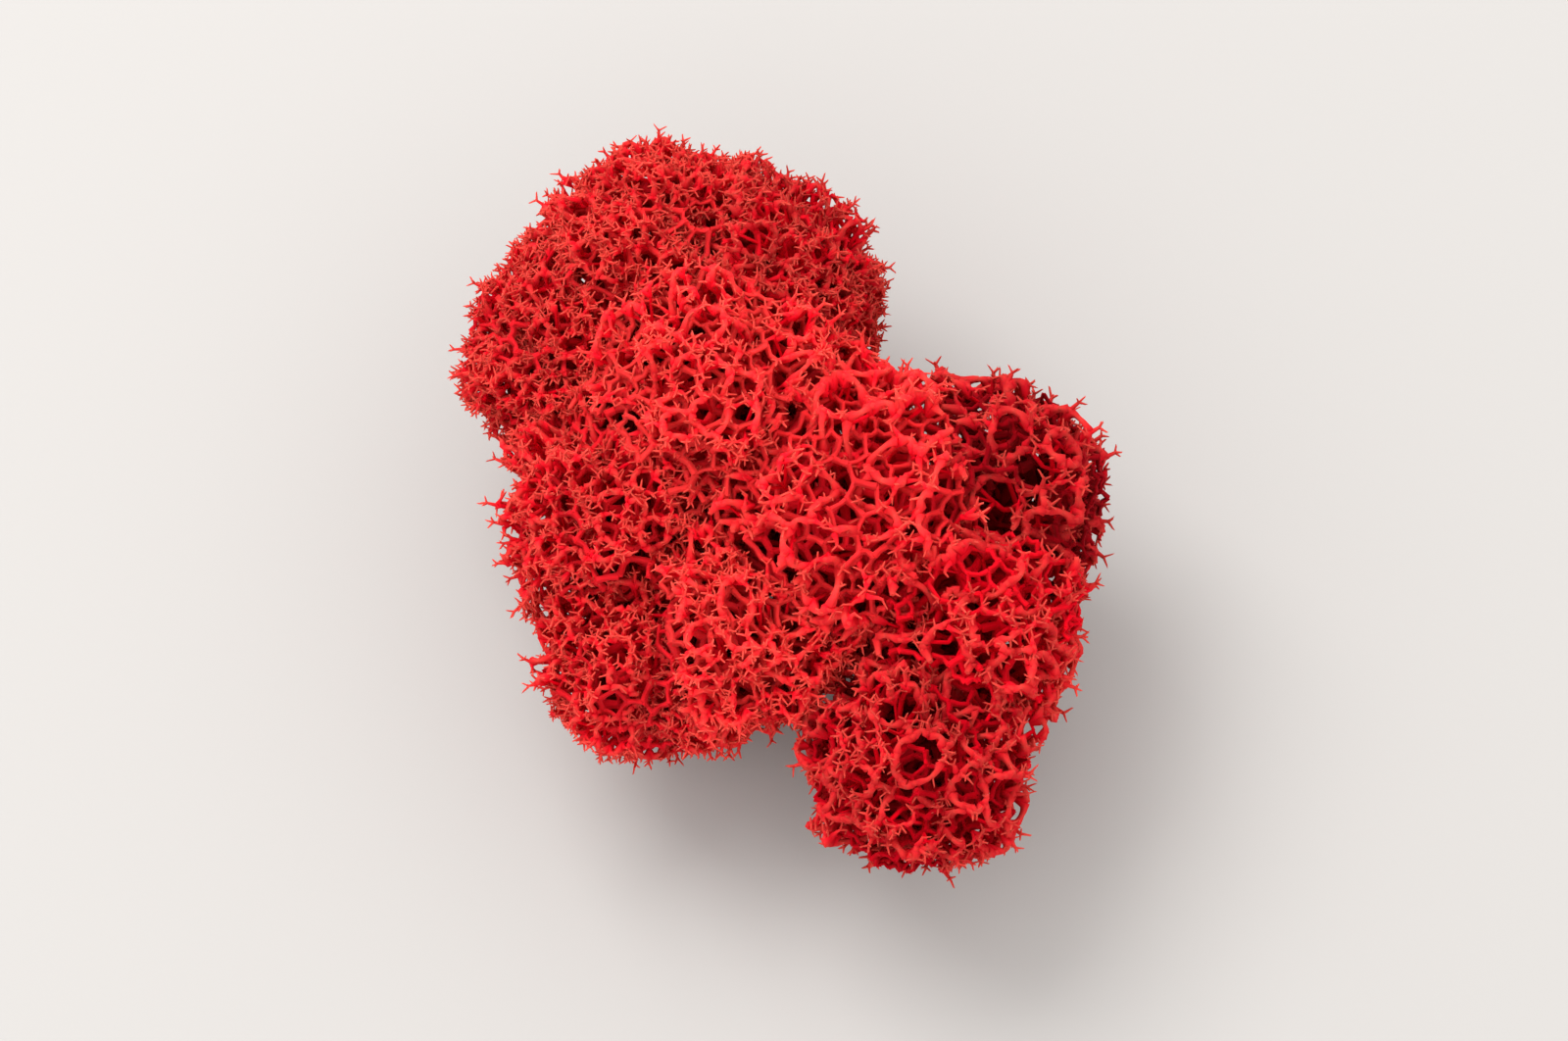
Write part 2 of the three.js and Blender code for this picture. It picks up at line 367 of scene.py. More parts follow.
# the whorl of arms at each knot, in mm; a pair is for a dense head and for an open one, and a pair
# named Reach or Spread is a range
armLook = {
    "radius": (0.25, 0.36),
    "radiusSpread": (0.9, 1.1),
    "throat": (1.0, 1.5),  # how deep under the knot its arms part
    "reach": (0.52, 0.57),
    "rise": (0.3, 0.1),
    "riseSpread": (0.3, 1.5),
    "flattened": 0.4,
    "shortest": 0.3,
    "longest": 2.2,
    "curl": 0.1,
    "missing": 0.08,
    "overlap": 0.1,
    "upright": (0.6, 0.3),  # the share of knots with a twig that stands up
    "uprightHeight": (0.8, 1.3),
    "uprightSpread": (0.6, 1.2),
    "uprightLean": 0.35,
    # stout arms make the ridges and rims; from the throat over the shoulder and the middle to the end
    "stout": 1.15,
    "stoutReach": (0.92, 1.15),
    "stoutSwell": (0.9, 1.35, 0.9, 0.74),
    "stoutGrowth": (0.5, 0.74, 0.82, 0.9),
    # thin ones lie lower and end free
    "thin": 0.78,
    "thinReach": (0.74, 1.12),
    "thinSwell": (0.9, 1.25, 0.8, 0.6),
    "thinGrowth": (0.48, 0.66, 0.76, 0.84),
    "thinLower": (0.35, 0.9),
}

# the blunt points at the ends of arms, in mm
tipLook = {
    "length": (0.72, 0.9),
    "lengthSpread": 0.3,
    "radius": (0.16, 0.19),
    "radiusSpread": (0.85, 1.15),
    "perEnd": (2.1, 1.7),
    "onRim": (1.2, 0.45),
    "onSide": (0.35, 0.28),
    "onUpright": 3,
    "forward": (0.4, 1.1),
    "sideways": 0.9,
    "outward": (0.0, 0.35),
    "sideOutward": (0.2, 0.9),
    "sideSpread": (0.7, 1.1),
    "forkTurn": 0.3,
}


def layNet(rng, head):
    look = netLook
    ways, widths = holesOf(rng, head)
    knots, links = netOver(ways, widths)
    knots = unit(knots + rng.normal(0, look["sideways"] * head["hole"] / look["usualHole"], knots.shape))
    # a head's surface is made of small lobes, and the net dips between them
    ball = 4 * math.pi * head["radius"] ** 2
    lobes = randomWays(rng, int(ball / look["lobeWidth"] ** 2 * look["lobeCrowding"]), -1)
    fromLobe = np.arccos(np.clip((knots @ lobes.T).max(axis=1), -1, 1)) * head["radius"]
    dip = look["lobeDip"] * np.clip(fromLobe / (look["lobeWidth"] * look["lobeFlat"]), 0, 1.2) ** 2
    dip += rng.normal(0, look["uneven"], len(knots))
    places, past = onForm(head, knots, dip)
    holePlaces, _ = onForm(head, ways)
    longSkirt = np.where(knots[:, 2] > 0, knots[:, 2], knots[:, 2] * 2)
    outward = normalsOf(head, np.c_[knots[:, :2], longSkirt] * head["radius"])
    outward = unit(outward + (0, 0, look["upturn"]))
    kept = (knots[:, 2] > clumpForm["lowest"]) & (places[:, 2] > clumpForm["lowestTip"])
    kept &= past < rng.normal(*look["overWall"], len(knots))
    # a knot's brightness is its head's tone with painted light and shade, painted shade in the dips, and
    # random tone
    shade = head["toneAndPaintedLight"] - look["dipPaintedShade"] * dip + rng.normal(0, look["shadeSpread"], len(knots))
    return SimpleNamespace(
        places=places,
        past=past,
        outward=outward,
        kept=kept,
        shade=np.clip(shade, 0, 1),
        throats=places - outward * between(armLook["throat"], head),
        links=links,
        holePlaces=holePlaces,
        widths=widths,
    )


def pairArms(rng, head, net):
    # the arms that leave each knot: where each heads, how it bows round its hole, where a stout pair meets
    look = netLook
    arms = {i: [] for i in np.flatnonzero(net.kept)}
    for a, b, holeA, holeB in net.links:
        # an arm towards a knot that is left out reaches over into the next head
        if not (net.kept[a] or net.kept[b]) or max(net.past[a], net.past[b]) > look["acrossWall"]:
            continue
        if min(net.places[[a, b], 2]) < look["lowestArm"]:
            continue
        larger = holeA if net.widths[holeA] > net.widths[holeB] else holeB
        width = net.widths[larger]
        halfway = (net.places[a] + net.places[b]) / 2
        bow = unit(halfway - net.holePlaces[larger]) * look["roundness"] * width
        # a large hole has a stout rim all round, and thinner twigs close the net between such rims
        rim = width > look["rimmed"] * head["hole"]
        stout = rng.uniform() < (look["rimShare"] if rim else between(look["stoutShare"], head))
        upward = unit(net.outward[a] + net.outward[b])
        over = upward * between(armLook["rise"], head) * rng.uniform(*look["ridgeRise"])
        meet = halfway + bow + over if stout else None
        for one, two in ((a, b), (b, a)):
            if net.kept[one]:
                arms[one].append((net.places[two], bow, meet))
    return arms


def growCrown(skeleton, rng, head, end, along, out, count, growth, tone):
    # the small star of points that ends an arm
    look = tipLook
    across = np.cross(out, along)
    if count > 2:
        turn = rng.uniform(0, 2 * math.pi)
    else:
        turn = rng.choice((0, math.pi)) + rng.normal(0, look["forkTurn"])
    for k in range(count):
        angle = turn + 2 * math.pi * k / count
        side = across * math.cos(angle) + out * math.sin(angle)
        forward = rng.uniform(*look["forward"])
        aim = unit(along * forward + side * look["sideways"] + out * rng.uniform(*look["outward"]))
        size = between(look["length"], head) * rng.uniform(1 - look["lengthSpread"], 1 + look["lengthSpread"])
        thick = between(look["radius"], head) * rng.uniform(*look["radiusSpread"])
        skeleton.tip(end, aim, size, thick, rng.uniform(0, 2 * math.pi), growth, tone)


def growArm(skeleton, rng, head, knot, target, bow, meet):
    look = armLook
    centre, out, tone, throat = knot
    stout = meet is not None
    kind = "stout" if stout else "thin"
    along = target - centre
    along -= out * (along @ out) * look["flattened"]
    length = np.linalg.norm(along)
    if length < look["shortest"]:
        return None
    along /= length
    across = np.cross(out, along)
    if not stout and rng.uniform() < look["missing"]:
        return None
    reached = rng.uniform(*look[kind + "Reach"])
    reach = min(length * between(look["reach"], head) * reached, look["longest"])
    curl = across * rng.normal(0, look["curl"]) * reach
    rise = out * between(look["rise"], head) * rng.uniform(*look["riseSpread"])
    thick = between(look["radius"], head) * rng.uniform(*look["radiusSpread"]) * look[kind]
    lower = 0 if stout else rng.uniform(0, between(look["thinLower"], head))
    shoulder = centre + along * min(0.4 * reach, 0.5) - out * (0.15 + lower / 2)
    if stout:
        # both arms of a pair end at the same point, so they make one ridge
        end = meet + along * look["overlap"]
        middle = (shoulder + end) / 2 + bow * 0.3 + out * 0.08
    else:
        middle = centre + along * reach * 0.7 + curl + bow * 0.8 + rise * 0.4 - out * lower
        end = centre + along * reach + 2 * curl + bow + rise - out * lower
    line = [throat, shoulder, middle, end]
    radii = [swell * thick for swell in look[kind + "Swell"]]
    growth = list(look[kind + "Growth"])
    if head["open"] < 0.5:
        # in a dense head the arms are too short to need their middle
        del line[2], radii[2], growth[2]
    skeleton.chain(line, radii, growth, tone, "branch")
    count = int(between(tipLook["onRim" if stout else "perEnd"], head) + rng.uniform())
    onward = unit(end - middle)
    growCrown(skeleton, rng, head, end - along * look["overlap"], onward, out, count, growth[-1], tone)
    if rng.uniform() < between(tipLook["onSide"], head):
        aim = along * 0.5 + across * rng.choice((-1, 1)) + out * rng.uniform(*tipLook["sideOutward"])
        size = between(tipLook["length"], head) * rng.uniform(*tipLook["sideSpread"])
        radius = between(tipLook["radius"], head)
        skeleton.tip(middle, unit(aim), size, radius, rng.uniform(0, 6), 0.8, tone)
    return shoulder, along, thick


def joinAcross(skeleton, shoulders, out, tone):
    # the two arms that run most nearly in line make one ridge across the knot
    pairs = []
    for m, b in enumerate(shoulders):
        pairs += [(a[1] @ b[1], k, m) for k, a in enumerate(shoulders[:m])]
    _, k, m = min(pairs)
    (one, _, thickOne), (two, _, thickTwo) = shoulders[k], shoulders[m]
    over = (one + two) / 2 + out * 0.08
    radii = [thickOne * 0.9, (thickOne + thickTwo) / 2 * 0.95, thickTwo * 0.9]
    skeleton.chain([one, over, two], radii, [0.76, 0.82, 0.76], tone, "branch")


def growUpright(skeleton, rng, head, centre, out, tone):
    look = armLook
    lean = unit(out + rng.normal(0, look["uprightLean"], 3))
    end = centre + lean * between(look["uprightHeight"], head) * rng.uniform(*look["uprightSpread"])
    thick = between(look["radius"], head) * 0.8
    skeleton.chain([centre - out * 0.4, end], [thick, thick * 0.65], [0.68, 0.9], tone, "branch")
    across = unit(np.cross(lean, rng.normal(size=3)))
    end = end - lean * look["overlap"]
    growCrown(skeleton, rng, head, end, lean, across, tipLook["onUpright"], 0.86, tone)


# how a head branches from its stem to the net; lengths are in mm
branchLook = {
    "twigRadius": 0.2,
    "thickening": 0.27,
    "shrink": 0.8,  # each stretch between forks against the one before it
    "stemShare": 0.16,
    "straightFoot": 0.8,  # the cut end stands square on the floor
    "wander": 0.1,
}


def sortInThree(start, tips):
    ways = unit(tips - start)
    aims = [ways[(ways @ unit(ways.mean(axis=0))).argmin()]]
    while len(aims) < 3:
        aims.append(ways[(ways @ np.array(aims).T).max(axis=1).argmin()])
    aims = np.array(aims)
    for _ in range(8):
        nearest = (ways @ aims.T).argmax(axis=1)
        for k in range(3):
            if (nearest == k).any():
                aims[k] = unit(ways[nearest == k].mean(axis=0))
    return [np.flatnonzero(nearest == k) for k in range(3) if (nearest == k).any()]


def forkOf(start, tips):
    forksLeft = int(math.log(len(tips)) / math.log(3))
    lengths = sum(branchLook["shrink"] ** i for i in range(forksLeft + 1))
    return start + (tips.mean(axis=0) - start) / lengths


def growBranch(skeleton, rng, start, end, tips, startRadius, top):
    look, count = branchLook, len(tips)
    radius = look["twigRadius"] * count ** look["thickening"]
    length = np.linalg.norm(end - start)
    way = (end - start) / max(length, 1e-6)
    middle = (start + end) / 2 + np.cross(way, rng.normal(size=3)) * look["wander"] * length
    # lower down the branches are darker: partly older growth and partly painted shade of the deep inside
    growth = [0.05 + 0.5 * min(1, p[2] / top) for p in (start, middle, end)]
    tone = rng.uniform(0.2, 0.8)
    if count == 1:
        skeleton.chain([start, end], [radius * 1.1, radius], growth[::2], tone, "twig")
        return
    ends = [start, middle, end, end + way * radius * 0.5]
    radii = [min(startRadius, radius * 1.2), radius, radius, radius * 0.55]
    skeleton.chain(ends, radii, growth + growth[-1:], tone, "stem" if count > 8 else "branch")
    for group in sortInThree(end, tips):
        own = tips[group]
        fork = own[0] if len(own) == 1 else forkOf(end, own)
        growBranch(skeleton, rng, end, fork, own, radius, top)


def growStem(skeleton, rng, head, tips):
    look = branchLook
    foot = np.array([head["x"], head["y"], 0.0])
    bend = foot + (tips.mean(axis=0) - foot) * look["stemShare"]
    radius = look["twigRadius"] * len(tips) ** look["thickening"]
    fork = forkOf(bend, tips)
    line = [foot, foot + (0, 0, look["straightFoot"]), bend, bend + (0, 0, 0.3)]
    skeleton.chain(line, [radius * 1.1, radius * 1.1, radius, radius], [0, 0.02, 0.06, 0.06], 0.4, "stem")
    growBranch(skeleton, rng, bend, fork, tips, radius, head["top"])
    return np.array([foot, bend, fork])


# short old twigs low on a stem, and thin stems beside it, in mm
lowLook = {
    "twigs": 16,
    "height": (0.9, 10.0),
    "length": (2.2, 4.8),
    "rise": (0.1, 0.9),
    "radius": 0.3,
    "growth": (0.06, 0.3),
    "kneeAt": 0.55,
    "forkWidth": (0.3, 0.8),
    "forkRise": (0, 0.4),
    "forkLength": (0.3, 0.6),
    "sideStems": 2,
    "apart": (1.6, 3.0),
    "sideRadius": 0.5,
}


def growLow(skeleton, rng, line):
    look = lowLook
    for _ in range(look["twigs"]):
        height = rng.uniform(*look["height"])
        start = np.array([np.interp(height, line[:, 2], line[:, axis]) for axis in range(3)])
        turn = rng.uniform(0, 2 * math.pi)
        way = unit(np.array([math.cos(turn), math.sin(turn), rng.uniform(*look["rise"])]))
        length, tone = rng.uniform(*look["length"]), rng.uniform(0.3, 0.8)
        knee = start + way * length * look["kneeAt"]
        growth = look["growth"][0] + (look["growth"][1] - look["growth"][0]) * height / look["height"][1]
        skeleton.chain([start, knee], [look["radius"] * 1.2, look["radius"]], [growth] * 2, tone, "branch")
        for side in (-1, 1):
            aside = np.cross(way, (0, 0, side)) * rng.uniform(*look["forkWidth"])
            bent = unit(way + aside + (0, 0, rng.uniform(*look["forkRise"])))
            end = knee + bent * length * rng.uniform(*look["forkLength"])
            radii = [look["radius"] * 0.8, look["radius"] * 0.5]
            skeleton.chain([knee - way * 0.1, end], radii, [growth, growth + 0.1], tone, "twig")
    for _ in range(look["sideStems"]):
        turn = rng.uniform(0, 2 * math.pi)
        beside = np.array([math.cos(turn), math.sin(turn), 0]) * rng.uniform(*look["apart"])
        foot = line[0] + beside
        knee = foot + (*rng.normal(0, 0.4, 2), rng.uniform(3, 5))
        points = [foot, foot + (0, 0, 0.7), knee, line[2] + beside * 0.5, line[2]]
        radius = look["sideRadius"] * rng.uniform(0.8, 1.2)
        radii = [radius * 1.1, radius * 1.1, radius, radius * 0.9, radius * 0.8]
        skeleton.chain(points, radii, [0, 0.02, 0.08, 0.15, 0.2], 0.4, "stem")


# layers of older branches under the net, from the outermost; lengths are in mm
innerLook = {
    "depth": (1.6, 2.6, 4.8, 7.4),
    "hole": (2.1, 2.3, 2.5, 2.7),
    "radius": (0.32, 0.4, 0.5, 0.6),
    # inner branches are painted lighter in a lit head and darker in a shaded one, as painted light and shade;
    # the deeper layers are darker, partly older growth and partly painted shade
    "growth": ((0.74, 0.28), (0.82, 0.32), (0.74, 0.25), (0.6, 0.15)),  # in a lit head, and in a dark one
    "steepOnly": (True, False, False, False),  # the first layer is only behind the flanks
    "steep": (-0.4, 0.3),
    "steepPast": -0.5,
    "tries": 900,
    "packing": 0.85,
    "uneven": 0.4,
    "lowest": -0.7,
    "lowestKnot": 4.0,
    "past": 0.7,
    "dark": 0.6,  # heads less lit than this are hollow under their openings
    "hollow": 0.55,
    "bowedTo": 4.0,
}


def growInside(skeleton, rng, head):
    look = innerLook
    layers = zip(look["depth"], look["hole"], look["radius"], look["growth"], look["steepOnly"])
    for depth, hole, radius, (light, dark), steepOnly in layers:
        # painted light and shade: the inner branches are lighter in a lit head and darker in a shaded one
        growth = max(dark + (light - dark) * head["lit"], 0.05)
        ways = randomWays(rng, look["tries"], -0.9)
        places, _ = onForm(head, ways, depth)
        chosen = []
        for i, place in enumerate(places):
            gaps = np.linalg.norm(places[chosen] - place, axis=1)
            if (gaps > hole * look["packing"]).all():
                chosen.append(i)
        knots, links = netOver(ways[chosen], np.ones(len(chosen)))
        places, past = onForm(head, knots, depth + rng.normal(0, look["uneven"], len(knots)))
        kept = (knots[:, 2] > look["lowest"]) & (places[:, 2] > look["lowestKnot"]) & (past < look["past"])
        if steepOnly:
            lowest, highest = look["steep"]
            kept &= (knots[:, 2] < highest) & (knots[:, 2] > lowest) & (past < look["steepPast"])
        for x, y, width in head.get("openings", ()) if head["lit"] < look["dark"] else ():
            kept &= np.hypot(places[:, 0] - x, places[:, 1] - y) > look["hollow"] * width
        for a, b, *_ in links:
            if kept[a] and kept[b]:
                middle = (places[a] + places[b]) / 2 - knots[a] * rng.uniform(0.1, 0.6)
                line = [places[a], middle, places[b]] if depth < look["bowedTo"] else [places[a], places[b]]
                thick = radius * rng.uniform(0.8, 1.2)
                radii = [thick, thick * 0.8, thick][: len(line)]
                skeleton.chain(line, radii, [growth] * len(line), rng.uniform(0.3, 0.8), "twig")


# flat tangles of the oldest branches, low in a head, in mm
matLook = {
    "height": (7.5, 12.0, 17.0),
    "share": (0.66, 0.72, 0.72),  # of the head's radius
    "tries": 900,
    "spacing": 1.5,
    "fromWall": 0.7,
    "neighbours": 4,
    "radius": 0.54,
    "uneven": 0.9,
    "growth": 0.16,
}


def growMats(skeleton, rng, head):
    look = matLook
    for height, share in zip(look["height"], look["share"]):
        across = head["radius"] * share
        inMat = rng.uniform(-across, across, (look["tries"], 2))
        inMat = inMat[np.hypot(*inMat.T) < across]
        for other in clumpHeads.values():
            if other is head:
                continue
            apart, length, wall = wallTowards(head, other)
            inMat = inMat[inMat @ (apart / length) < wall - look["fromWall"]]
        chosen = []
        for place in inMat:
            if not chosen or (np.linalg.norm(np.array(chosen) - place, axis=1) > look["spacing"]).all():
                chosen.append(place)
        flat = np.array(chosen)
        places = np.c_[flat + (head["x"], head["y"]), height + rng.normal(0, look["uneven"], len(flat))]
        gaps = np.array([np.linalg.norm(places - place, axis=1) for place in places])
        nearest = np.argsort(gaps)[:, 1 : look["neighbours"] + 1]
        for i, place in enumerate(places):
            for j in nearest[i]:
                if i < j or i not in nearest[j]:
                    thick = look["radius"] * rng.uniform(0.7, 1.2)
                    radii, growth = [thick, thick * 0.8], [look["growth"]] * 2
                    skeleton.chain([place, places[j]], radii, growth, rng.uniform(), "twig")


def growHead(head, seed):
    rng = np.random.default_rng(seed)
    net = layNet(rng, head)
    skeleton = Skeleton(rng)
    stem = growStem(skeleton, rng, head, net.throats[net.kept])
    growLow(skeleton, rng, stem)
    growInside(skeleton, rng, head)
    growMats(skeleton, rng, head)
    for i, arms in pairArms(rng, head, net).items():
        centre, out, tone = net.places[i], net.outward[i], net.shade[i]
        knot = (centre, out, tone, net.throats[i])
        grown = [growArm(skeleton, rng, head, knot, *arm) for arm in arms]
        shoulders = [arm for arm in grown if arm]
        if head["open"] > 0.3 and len(shoulders) > 1:
            joinAcross(skeleton, shoulders, out, tone)
        if arms and rng.uniform() < between(armLook["upright"], head):
            growUpright(skeleton, rng, head, centre, out, tone)
    return skeleton


# the tips' mesh, and how far one bends and tapers; their lengths and radii are in tipLook
treeLook = {
    "Tip Sides": 3,
    "Tip Steps": 2,
    "Tip Bend": 0.25,
    "Tip End": 0.5,
}


def attribute(tree, name, kind="FLOAT"):
    node = addNode(tree, "GeometryNodeInputNamedAttribute", {"data_type": kind}, {"Name": name})
    return node.outputs["Attribute"]


def circle(tree, sides):
    inputs = {"Resolution": sides, "Radius": 1.0}
    node = addNode(tree, "GeometryNodeCurvePrimitiveCircle", {"mode": "RADIUS"}, inputs)
    return node.outputs["Curve"]


def pointsWith(tree, given, sides):
    same = addNode(
        tree,
        "FunctionNodeCompare",
        {"data_type": "INT", "operation": "EQUAL"},
        {2: attribute(tree, "sides", "INT"), 3: sides},
    )
    node = addNode(
        tree,
        "GeometryNodeSeparateGeometry",
        {"domain": "POINT"},
        {"Geometry": given.outputs["Skeleton"], "Selection": same.outputs["Result"]},
    )
    return node.outputs["Selection"]


def tubeMesh(tree, curve, sides, radius):
    node = addNode(
        tree,
        "GeometryNodeCurveToMesh",
        inputs={"Curve": curve, "Profile Curve": circle(tree, sides), "Scale": radius, "Fill Caps": True},
    )
    return node.outputs["Mesh"]


def oneTip(tree, given):
    # the one tip that is set on every tip point; its radius and length are 1 until it is scaled there
    bow = addNode(
        tree,
        "ShaderNodeCombineXYZ",
        inputs={"X": given.outputs["Tip Bend"], "Y": 0.0, "Z": 1.0},
    )
    line = addNode(
        tree,
        "GeometryNodeCurveQuadraticBezier",
        inputs={
            "Resolution": given.outputs["Tip Steps"],
            "Start": (0, 0, 0),
            "Middle": (0, 0, 0.5),
            "End": bow.outputs["Vector"],
        },
    )
    along = addNode(tree, "GeometryNodeSplineParameter").outputs["Factor"]
    marked = addNode(
        tree,
        "GeometryNodeStoreNamedAttribute",
        {"data_type": "FLOAT", "domain": "POINT"},
        {"Geometry": line.outputs["Curve"], "Name": "along", "Value": along},
    )
    taper = addNode(
        tree,
        "ShaderNodeMapRange",
        {"interpolation_type": "SMOOTHSTEP"},
        {
            "Value": along,
            "From Min": -0.3,
            "From Max": 1.05,
            "To Min": 1.0,
            "To Max": given.outputs["Tip End"],
        },
    )
    return tubeMesh(tree, marked.outputs["Geometry"], given.outputs["Tip Sides"], taper.outputs["Result"])


def allTips(tree, given):
    aligned = addNode(
        tree,
        "FunctionNodeAlignRotationToVector",
        {"axis": "Z"},
        {"Vector": attribute(tree, "aim", "FLOAT_VECTOR")},
    )
    own = addNode(
        tree,
        "FunctionNodeAxisAngleToRotation",
        inputs={"Axis": (0, 0, 1), "Angle": attribute(tree, "turn")},
    )
    turned = addNode(
        tree,
        "FunctionNodeRotateRotation",
        {"rotation_space": "LOCAL"},
        {"Rotation": aligned.outputs["Rotation"], "Rotate By": own.outputs["Rotation"]},
    )
    thickness = attribute(tree, "thickness")
    size = addNode(
        tree,
        "ShaderNodeCombineXYZ",
        inputs={"X": thickness, "Y": thickness, "Z": attribute(tree, "size")},
    )
    placed = addNode(
        tree,
        "GeometryNodeInstanceOnPoints",
        inputs={
            "Points": pointsWith(tree, given, 0),
            "Instance": oneTip(tree, given),
            "Rotation": turned.outputs["Rotation"],
            "Scale": size.outputs["Vector"],
        },
    )
    real = addNode(tree, "GeometryNodeRealizeInstances", inputs={"Geometry": placed.outputs["Instances"]})
    # a tip grows from its root's colour to the palest, which is partly its own young colour and partly painted
    # highlight
    growth = attribute(tree, "growth")
    left = addNode(tree, "ShaderNodeMath", {"operation": "SUBTRACT"}, {0: 1.0, 1: growth})
    gained = addNode(
        tree,
        "ShaderNodeMath",
        {"operation": "MULTIPLY_ADD"},
        {0: left.outputs["Value"], 1: attribute(tree, "along"), 2: growth},
    )
    tipped = addNode(
        tree,
        "GeometryNodeStoreNamedAttribute",
        {"data_type": "FLOAT", "domain": "POINT"},
        {"Geometry": real.outputs["Geometry"], "Name": "growth", "Value": gained.outputs["Value"]},
    )
    return tipped.outputs["Geometry"]


def lichenTree():
    # turns a skeleton into lichen: tubes along its lines and a bent, blunt cone on each tip point
    tree = bpy.data.node_groups.new("lichenBranches", "GeometryNodeTree")
    face = tree.interface
    face.new_socket("Skeleton", in_out="INPUT", socket_type="NodeSocketGeometry")
    for name, value in treeLook.items():
        kind = "NodeSocketInt" if isinstance(value, int) else "NodeSocketFloat"
        face.new_socket(name, in_out="INPUT", socket_type=kind)
    face.new_socket("Lichen", in_out="INPUT", socket_type="NodeSocketMaterial")
    face.new_socket("Lichen", in_out="OUTPUT", socket_type="NodeSocketGeometry")
    given = addNode(tree, "NodeGroupInput")
    parts = []
    for sides in tubeSides.values():
        lines = addNode(tree, "GeometryNodeMeshToCurve", inputs={"Mesh": pointsWith(tree, given, sides)})
        parts.append(tubeMesh(tree, lines.outputs["Curve"], sides, attribute(tree, "thickness")))
    parts.append(allTips(tree, given))
    join = addNode(tree, "GeometryNodeJoinGeometry")
    for part in parts:
        tree.links.new(part, join.inputs["Geometry"])
    place = addNode(
        tree,
        "ShaderNodeCombineXYZ",
        inputs={"X": attribute(tree, "growth"), "Y": attribute(tree, "shade"), "Z": 0.0},
    )
    mapped = addNode(
        tree,
        "GeometryNodeStoreNamedAttribute",
        {"data_type": "FLOAT2", "domain": "CORNER"},
        {"Geometry": join.outputs["Geometry"], "Name": "OFBake", "Value": place.outputs["Vector"]},
    )
    smooth = addNode(tree, "GeometryNodeSetShadeSmooth", inputs={"Geometry": mapped.outputs["Geometry"]})
    whole = addNode(tree, "GeometryNodeRealizeInstances", inputs={"Geometry": smooth.outputs["Geometry"]})
    painted = addNode(
        tree,
        "GeometryNodeSetMaterial",
        inputs={"Geometry": whole.outputs["Geometry"], "Material": given.outputs["Lichen"]},
    )
    addNode(tree, "NodeGroupOutput", inputs={"Lichen": painted.outputs["Geometry"]})
    return tree


def skeletonObject(name, skeleton, shift):
    mesh = bpy.data.meshes.new(name)
    points = (spread(np.array(skeleton.points)) + shift) * mm
    mesh.from_pydata(points.tolist(), skeleton.edges, [])
    columns = np.array(skeleton.columns, float)
    scales = {"thickness": mm, "growth": 1, "shade": 1, "sides": 1, "size": mm, "turn": 1}
    for k, (column, scale) in enumerate(scales.items()):
        kind = "INT" if column == "sides" else "FLOAT"
        values = (columns[:, k] * scale).astype(np.int32 if column == "sides" else np.float32)
        mesh.attributes.new(column, kind, "POINT").data.foreach_set("value", values)
    aims = columns[:, len(scales) :].ravel()
    mesh.attributes.new("aim", "FLOAT_VECTOR", "POINT").data.foreach_set("vector", aims)
    piece = bpy.data.objects.new(name, mesh)
    bpy.context.scene.collection.objects.link(piece)
    return piece


def grownPiece(node, skeleton, shift, tree, material):
    piece = skeletonObject(node + "_lichen", skeleton, shift)
    modifier = piece.modifiers.new("lichenBranches", "NODES")
    modifier.node_group = tree
    sockets = {s.name: s.identifier for s in tree.interface.items_tree if s.in_out == "INPUT"}
    for name, value in (*treeLook.items(), ("Lichen", material)):
        modifier[sockets[name]] = value
    evaluated = piece.evaluated_get(bpy.context.evaluated_depsgraph_get())
    grown = bpy.data.meshes.new_from_object(evaluated)
    piece.modifiers.clear()
    piece.data = grown
    for name in ("thickness", "growth", "shade", "sides", "size", "turn", "aim", "along"):
        if name in grown.attributes:
            grown.attributes.remove(grown.attributes[name])
    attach(piece, "root")
    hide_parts(node)
    return piece


def footOf(node):
    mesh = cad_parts[node].data
    places = np.empty(len(mesh.vertices) * 3)
    mesh.vertices.foreach_get("co", places)
    places = places.reshape(-1, 3)
    return places[places[:, 2] < 1e-5].mean(axis=0) / mm


def shiftToSolids():
    # the heads were laid out from the clump's middle, and the frame's origin is the middle of its box
    shifts = []
    for node, head in clumpHeads.items():
        shifts.append(footOf(node)[:2] - clumpForm["footSpread"] * np.array([head["x"], head["y"]]))
    return np.array([*np.mean(shifts, axis=0), 0.0])


firstSeed = 100  # each head has the next seed

material = dyedReindeerLichen()
tree = lichenTree()
print("material and node tree made")

shift = shiftToSolids()
total = 0
for number, (node, head) in enumerate(clumpHeads.items()):
    skeleton = growHead(head, firstSeed + number)
    piece = grownPiece(node, skeleton, shift, tree, material)
    triangles = sum(len(p.vertices) - 2 for p in piece.data.polygons)
    total += triangles
    print(node, "grown,", triangles, "triangles")
print("all heads grown,", total, "triangles")


# a plain pale floor under soft studio light; lengths are in m
stageLook = {
    "floor": "#AAA7A4",
    "floorRoughness": 0.9,
    "floorHalf": 3.0,
    "keyPower": 5.5,
    "keySize": 0.5,
    "keyPlace": (-0.28, 0.30, 0.75),
    "keyAim": (0, 0, 0.02),
    "sky": 1.52,
}


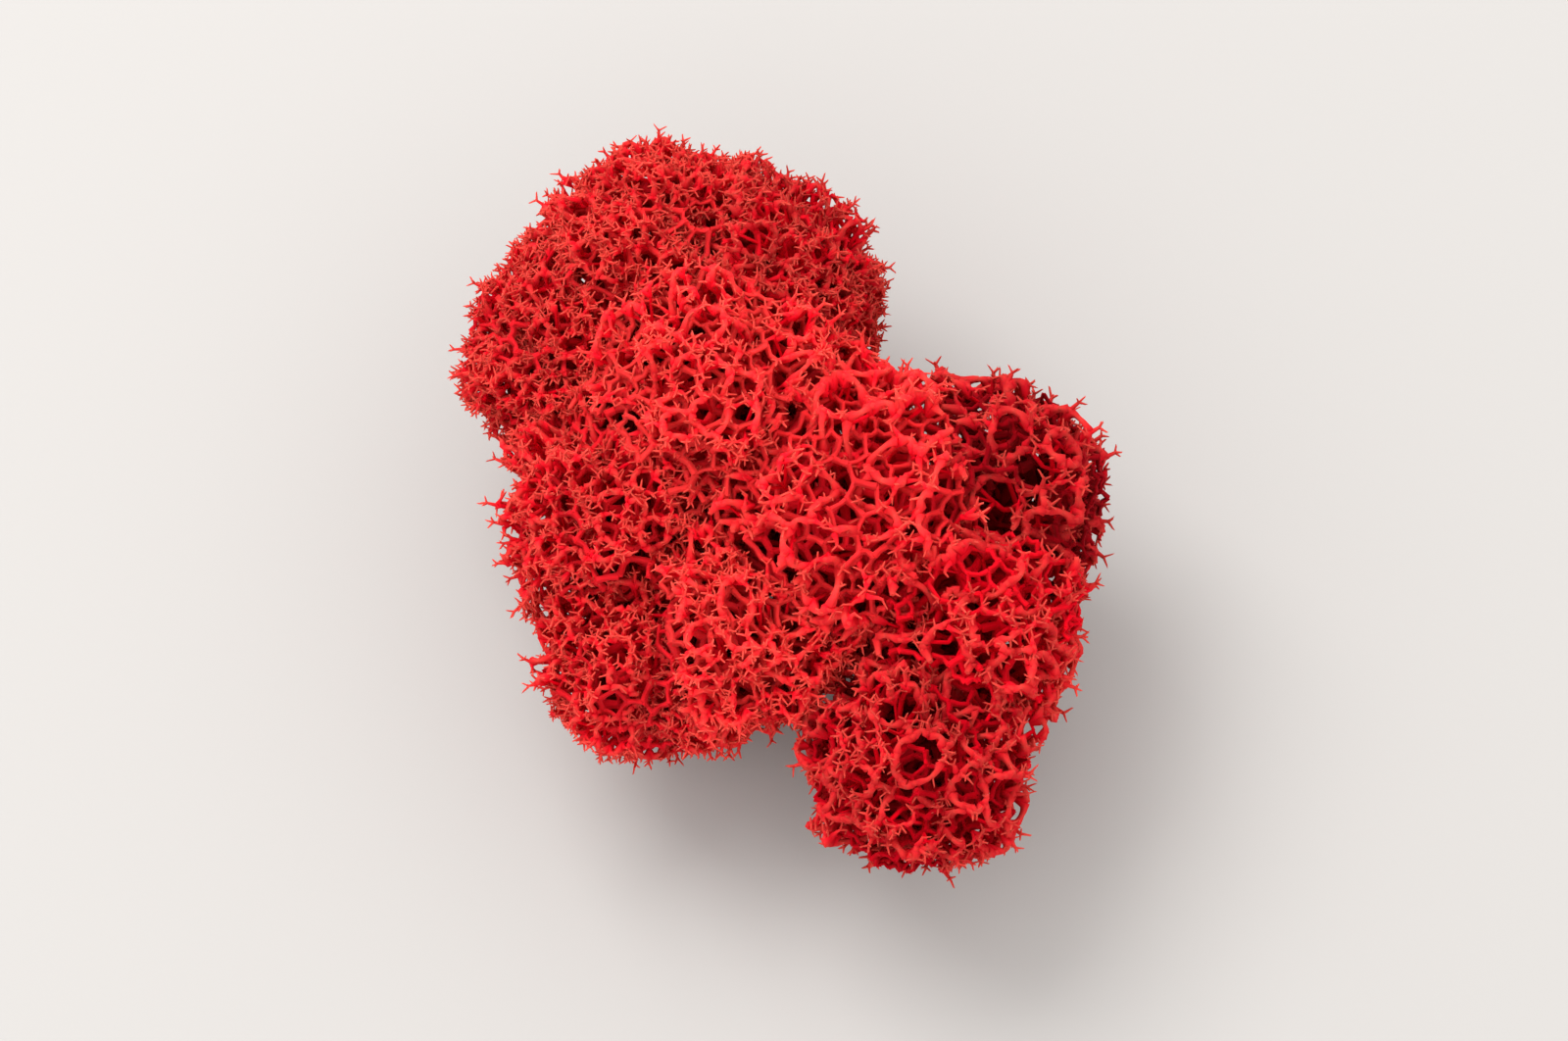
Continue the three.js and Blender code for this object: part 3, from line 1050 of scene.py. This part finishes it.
def makeFloor():
    half = stageLook["floorHalf"]
    corners = [(-half, -half, 0), (half, -half, 0), (half, half, 0), (-half, half, 0)]
    mesh = bpy.data.meshes.new("floor")
    mesh.from_pydata(corners, [], [(0, 1, 2, 3)])
    floor = bpy.data.objects.new("floor", mesh)
    bpy.context.scene.collection.objects.link(floor)
    # matte paper, which shows a soft shadow and no highlight
    paper = bpy.data.materials.new("mattePaper")
    paper.use_nodes = True
    shader = paper.node_tree.nodes["Principled BSDF"]
    shader.inputs["Base Color"].default_value = toLinear(stageLook["floor"])
    shader.inputs["Roughness"].default_value = stageLook["floorRoughness"]
    mesh.materials.append(paper)


def makeLight():
    key = bpy.data.lights.new("key", "AREA")
    key.shape = "SQUARE"
    key.size = stageLook["keySize"]
    key.energy = stageLook["keyPower"]
    lamp = bpy.data.objects.new("key", key)
    lamp.location = stageLook["keyPlace"]
    aim = Vector(stageLook["keyAim"]) - lamp.location
    lamp.rotation_euler = aim.to_track_quat("-Z", "Y").to_euler()
    bpy.context.scene.collection.objects.link(lamp)
    world = bpy.data.worlds.new("studio")
    bpy.context.scene.world = world
    world.use_nodes = True
    background = world.node_tree.nodes["Background"]
    background.inputs["Color"].default_value = (1, 1, 1, 1)
    background.inputs["Strength"].default_value = stageLook["sky"]
    bpy.context.scene.view_settings.view_transform = "Standard"


# the photo was taken from above and a little from the front; lengths are in m, the lens in mm
cameraLook = {
    "towards": (0.07, -0.352, 0.933),  # from the clump to the camera
    "distance": 1.48,
    "lens": 335.0,
    "sensor": 36,
    "farthest": 20,
    "aim": (0.0, 0.0, 0.022),
}


def makeCamera():
    look = cameraLook
    back = Vector(look["towards"]).normalized()
    right = (Vector((1, 0, 0)) - back * back.x).normalized()
    up = back.cross(right)
    camera = bpy.data.cameras.new("camera")
    camera.lens = look["lens"]
    camera.sensor_width = look["sensor"]
    camera.clip_end = look["farthest"]
    eye = bpy.data.objects.new("camera", camera)
    place = Vector(look["aim"]) + back * look["distance"]
    turned = eye.matrix_world.copy()
    for row in range(3):
        turned[row][0], turned[row][1], turned[row][2] = right[row], up[row], back[row]
        turned[row][3] = place[row]
    eye.matrix_world = turned
    bpy.context.scene.collection.objects.link(eye)
    bpy.context.scene.camera = eye


makeFloor()
makeLight()
print("floor and light placed")
makeCamera()
print("camera placed")
